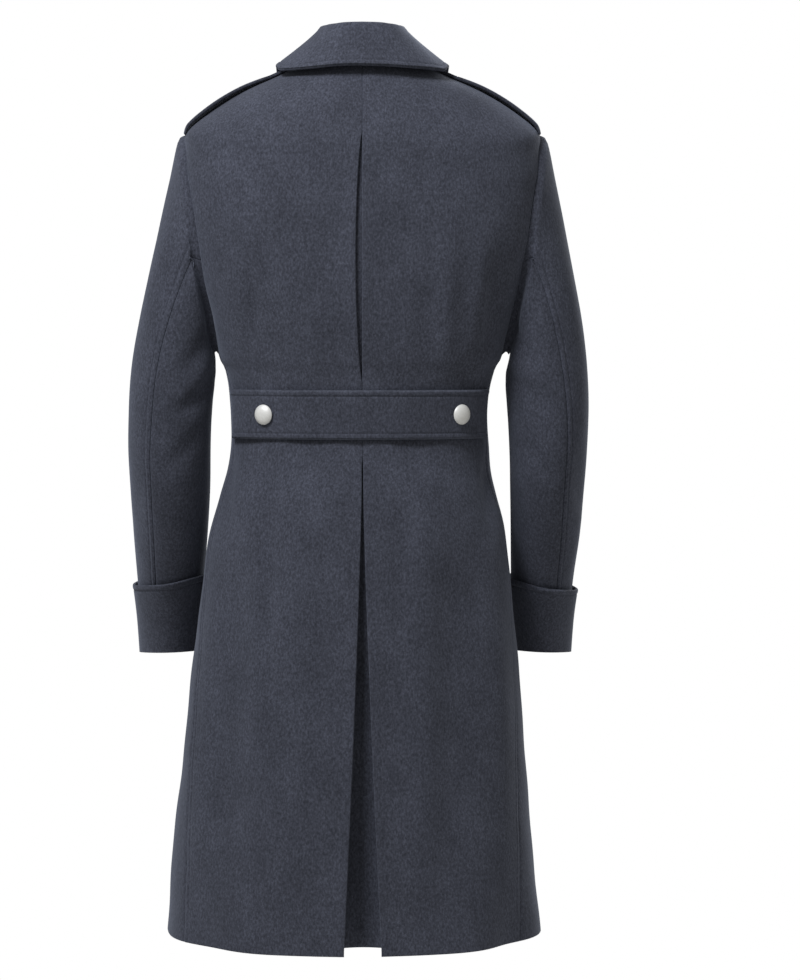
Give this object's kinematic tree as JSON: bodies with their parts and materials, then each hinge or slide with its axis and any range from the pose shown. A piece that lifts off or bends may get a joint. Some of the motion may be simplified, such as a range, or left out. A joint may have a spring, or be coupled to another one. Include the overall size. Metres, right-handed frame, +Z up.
{
  "type": "military greatcoat",
  "caption": "Long double-breasted greatcoat in heavy wool with a turned-down collar, shoulder straps, half belt, turn-back cuffs and back pleats, in its hollow worn form.",
  "frame": {"origin": "on the midline at the level of the neck seam at the back, inside the neck opening, where the wearer holds the coat up", "axes": "+Z up, -Y out of the front, +Y out of the back, +X towards the wearer's left"},
  "size_m": [0.5803, 0.3413, 1.1481],
  "materials": {
    "wool_body": "napped blue-grey wool melton, matt with a soft sheen",
    "wool_trim": "napped blue-grey wool melton in two layers, matt",
    "wool_shade": "blue-grey wool melton inside the pleats, matt",
    "button_metal": "plain domed silver-coloured metal, satin"
  },
  "bodies": {
    "root": {"back_left": "wool_body", "back_right": "wool_body", "upper_pleat_underlay": "wool_shade", "skirt_pleat_underlay": "wool_shade", "front_left": "wool_body", "front_right": "wool_body", "collar": "wool_body", "shoulder_strap_left": "wool_body", "shoulder_strap_right": "wool_body", "half_belt": "wool_trim", "top_sleeve_left": "wool_body", "top_sleeve_right": "wool_body", "under_sleeve_left": "wool_trim", "under_sleeve_right": "wool_trim", "cuff_left": "wool_trim", "cuff_right": "wool_trim", "belt_button_left": "button_metal", "belt_button_right": "button_metal", "front_button_left_1": "button_metal", "front_button_left_2": "button_metal", "front_button_left_3": "button_metal", "front_button_left_4": "button_metal", "front_button_right_1": "button_metal", "front_button_right_2": "button_metal", "front_button_right_3": "button_metal", "front_button_right_4": "button_metal"}
  },
  "joints": []
}
